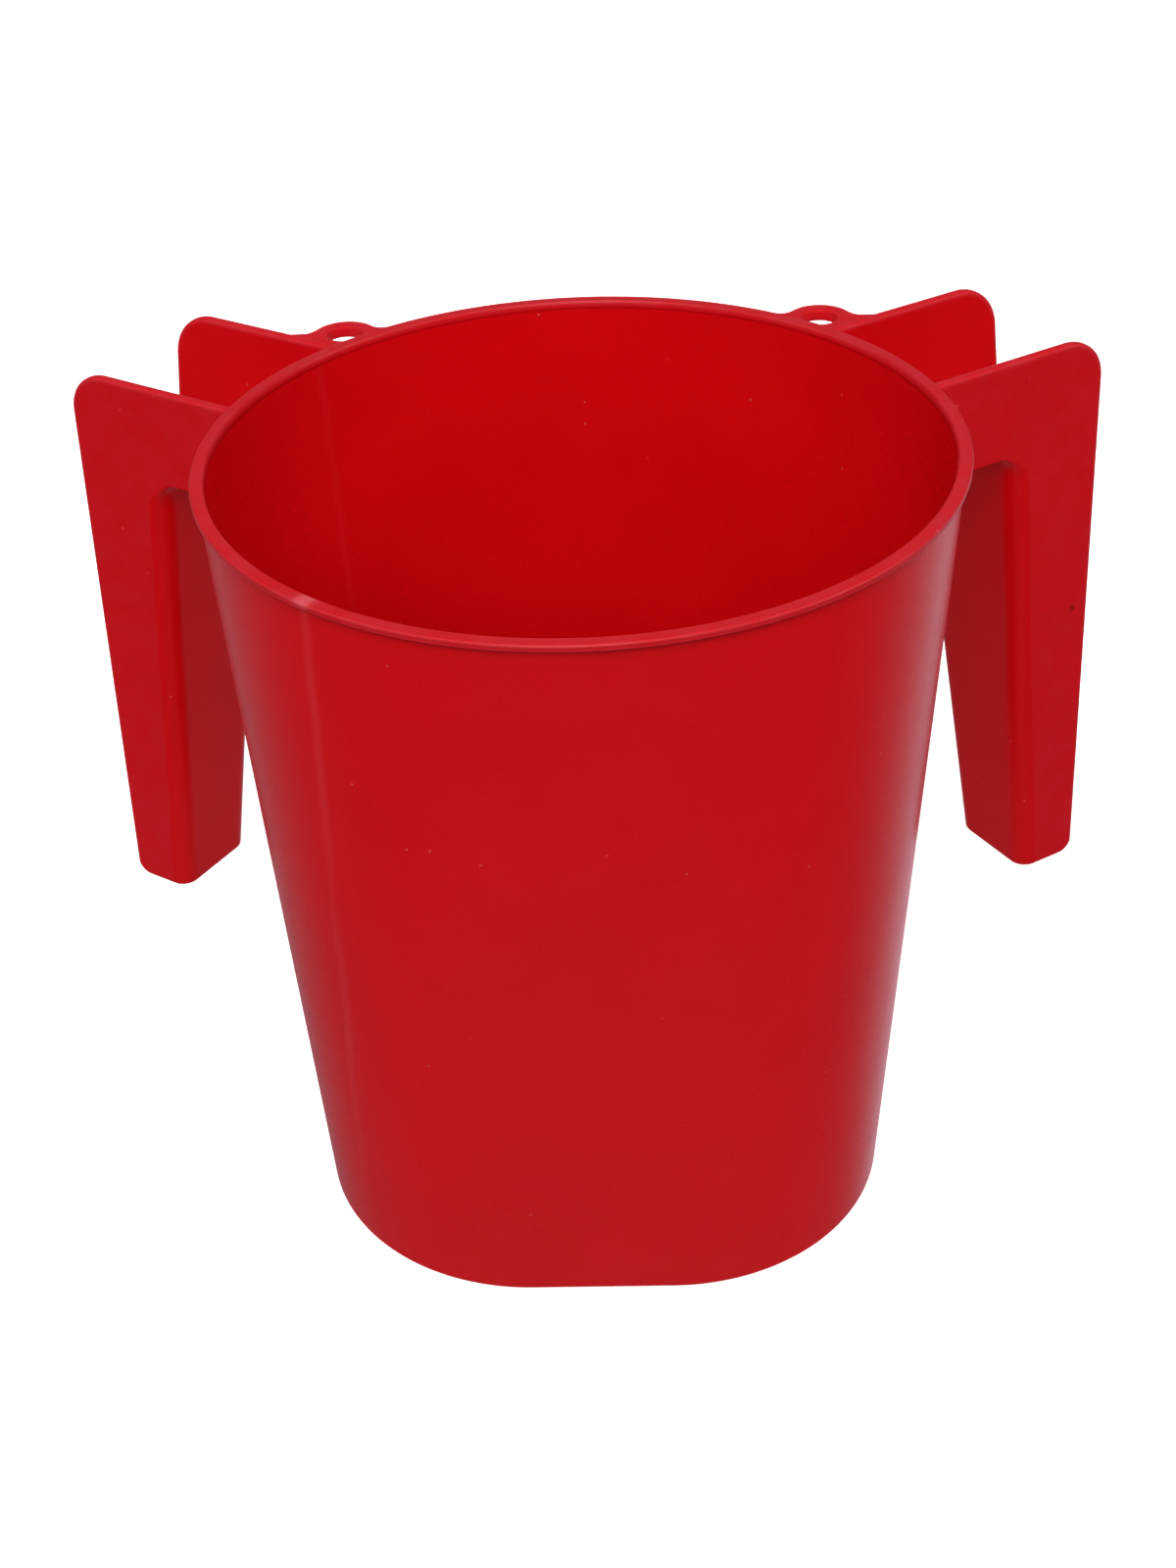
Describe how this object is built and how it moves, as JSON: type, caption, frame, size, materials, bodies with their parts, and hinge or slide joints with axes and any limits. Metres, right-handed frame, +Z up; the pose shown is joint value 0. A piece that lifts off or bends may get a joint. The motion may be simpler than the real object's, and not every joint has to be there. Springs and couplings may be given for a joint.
{
  "type": "two-handled bucket",
  "caption": "Red moulded plastic bucket, round at the rim and a rounded square at the base, with two open channel handles hanging from the rim and two small hanging tabs.",
  "frame": {"origin": "on the cup's axis, in the plane it stands on", "axes": "+Z up, -Y the front, which is the side away from the handles and tabs, +X to the right seen from the front"},
  "size_m": [0.2002, 0.1323, 0.1442],
  "materials": {
    "cup_plastic": "smooth injection-moulded polypropylene, softly glossy, with faint flow lines and light scuffs",
    "rim_plastic": "the same plastic, rubbed slightly paler along the rim's bead",
    "handle_plastic": "the same plastic, slightly more satin than the cup"
  },
  "bodies": {
    "root": {"cup_wall": "cup_plastic", "cup_floor": "cup_plastic", "foot_ring": "cup_plastic", "rim_bead": "rim_plastic", "left_front_bridge_plate": "handle_plastic", "left_rear_bridge_plate": "handle_plastic", "left_front_grip_plate": "handle_plastic", "left_rear_grip_plate": "handle_plastic", "left_grip_web": "handle_plastic", "left_bridge_soffit": "handle_plastic", "left_hanging_tab": "handle_plastic", "right_front_bridge_plate": "handle_plastic", "right_rear_bridge_plate": "handle_plastic", "right_front_grip_plate": "handle_plastic", "right_rear_grip_plate": "handle_plastic", "right_grip_web": "handle_plastic", "right_bridge_soffit": "handle_plastic", "right_hanging_tab": "handle_plastic"}
  },
  "joints": []
}
